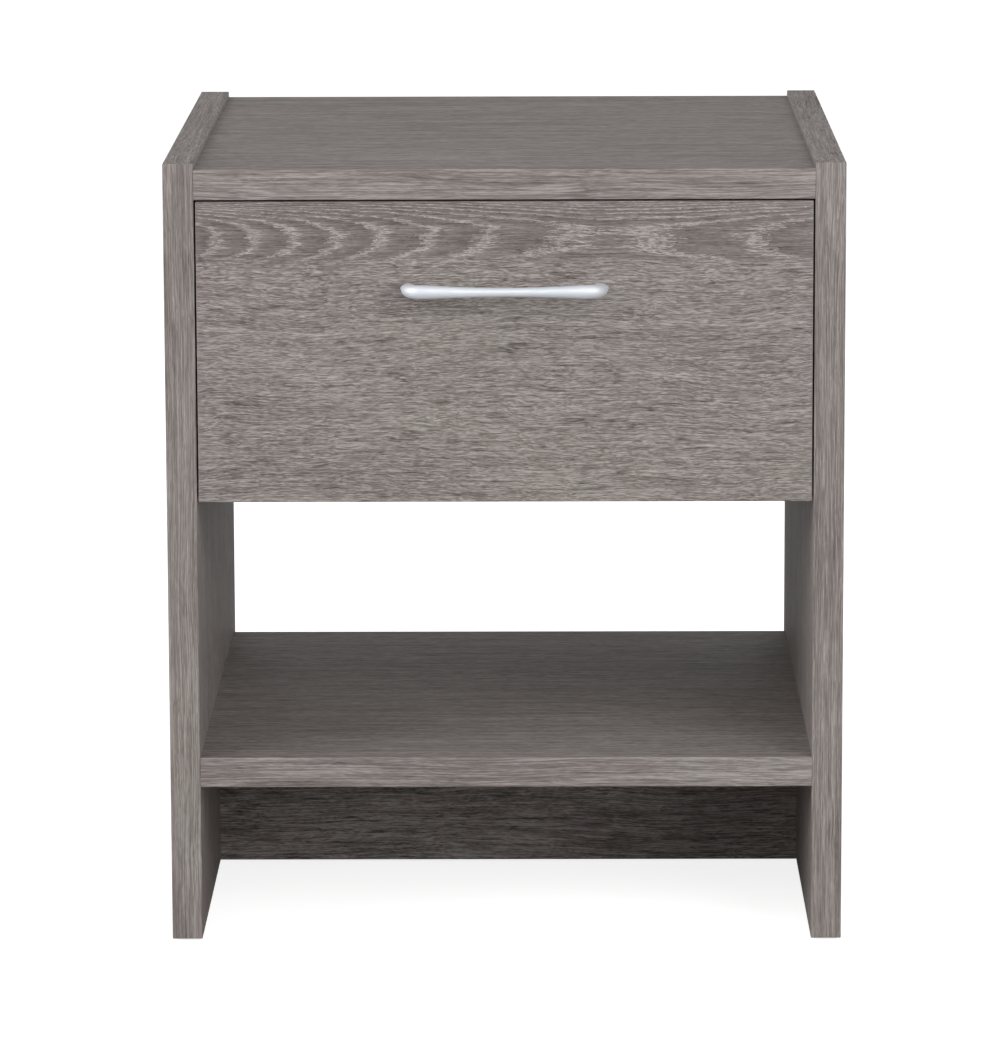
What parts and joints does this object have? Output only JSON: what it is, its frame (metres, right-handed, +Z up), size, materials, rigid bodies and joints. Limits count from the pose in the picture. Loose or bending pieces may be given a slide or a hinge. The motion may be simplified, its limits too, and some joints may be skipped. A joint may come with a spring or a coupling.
{
  "type": "nightstand with drawer",
  "caption": "Small board nightstand: inset top, drawer with a bow handle on roller runners, open see-through compartment, shelf and plinth rail.",
  "frame": {"origin": "on the floor at the middle of the overall box, handle included", "axes": "+Z up, +X to the right seen from the front, the drawer front faces -Y"},
  "size_m": [0.4, 0.422, 0.468],
  "materials": {
    "oak_foil_board": "grey-brown oak-effect melamine foil on chipboard, fine embossed grain",
    "drawer_foil_board": "thin foil-covered board, plain grey-brown grain",
    "hardboard": "thin lacquered hardboard",
    "hardwood": "plain fluted beech",
    "satin_silver": "satin silver lacquer on die-cast metal",
    "zinc": "dull zinc casting",
    "bright_steel": "zinc-plated steel",
    "runner_steel": "white epoxy-coated folded steel",
    "roller_nylon": "moulded white nylon",
    "glide_plastic": "moulded pale plastic"
  },
  "bodies": {
    "carcass": {"left_side_panel": "oak_foil_board", "right_side_panel": "oak_foil_board", "top_panel": "oak_foil_board", "shelf_panel": "oak_foil_board", "plinth_rail": "oak_foil_board", "back_rail": "oak_foil_board", "back_panel": "hardboard", "carcass_cam_locks": "zinc", "carcass_cam_bolts": "zinc", "carcass_dowels": "hardwood", "floor_glides": "glide_plastic", "glide_nails": "bright_steel", "left_cabinet_runner": "runner_steel", "right_cabinet_runner": "runner_steel", "front_roller_rivets": "bright_steel", "cabinet_runner_screws": "bright_steel"},
    "drawer": {"drawer_front": "oak_foil_board", "drawer_left_side": "drawer_foil_board", "drawer_right_side": "drawer_foil_board", "drawer_back": "drawer_foil_board", "drawer_bottom": "hardboard", "handle": "satin_silver", "handle_screws": "bright_steel", "drawer_cam_locks": "zinc", "drawer_cam_bolts": "zinc", "drawer_dowels": "hardwood", "drawer_back_screws": "bright_steel", "drawer_bottom_screws": "bright_steel", "left_drawer_runner": "runner_steel", "right_drawer_runner": "runner_steel", "rear_roller_rivets": "bright_steel", "drawer_runner_screws": "bright_steel"},
    "left_front_roller": {"left_front_roller": "roller_nylon"},
    "right_front_roller": {"right_front_roller": "roller_nylon"},
    "left_rear_roller": {"left_rear_roller": "roller_nylon"},
    "right_rear_roller": {"right_rear_roller": "roller_nylon"}
  },
  "joints": [
    {"name": "drawer_slide", "type": "slide", "parent": "carcass", "child": "drawer", "axis": [0, -1, 0], "range_m": [0, 0.26]},
    {"name": "left_front_roller_turn", "type": "hinge", "parent": "carcass", "child": "left_front_roller", "pos_m": [-0.176, -0.157, 0.29325], "axis": [1, 0, 0], "continuous": true},
    {"name": "left_rear_roller_turn", "type": "hinge", "parent": "drawer", "child": "left_rear_roller", "pos_m": [-0.176, 0.167, 0.28925], "axis": [1, 0, 0], "continuous": true},
    {"name": "right_front_roller_turn", "type": "hinge", "parent": "carcass", "child": "right_front_roller", "pos_m": [0.176, -0.157, 0.29325], "axis": [1, 0, 0], "continuous": true},
    {"name": "right_rear_roller_turn", "type": "hinge", "parent": "drawer", "child": "right_rear_roller", "pos_m": [0.176, 0.167, 0.28925], "axis": [1, 0, 0], "continuous": true}
  ],
  "couplings": [
    {"joint": "left_front_roller_turn", "follows": "drawer_slide", "rad_per_m": 125},
    {"joint": "left_rear_roller_turn", "follows": "drawer_slide", "rad_per_m": 125},
    {"joint": "right_front_roller_turn", "follows": "drawer_slide", "rad_per_m": 125},
    {"joint": "right_rear_roller_turn", "follows": "drawer_slide", "rad_per_m": 125}
  ]
}
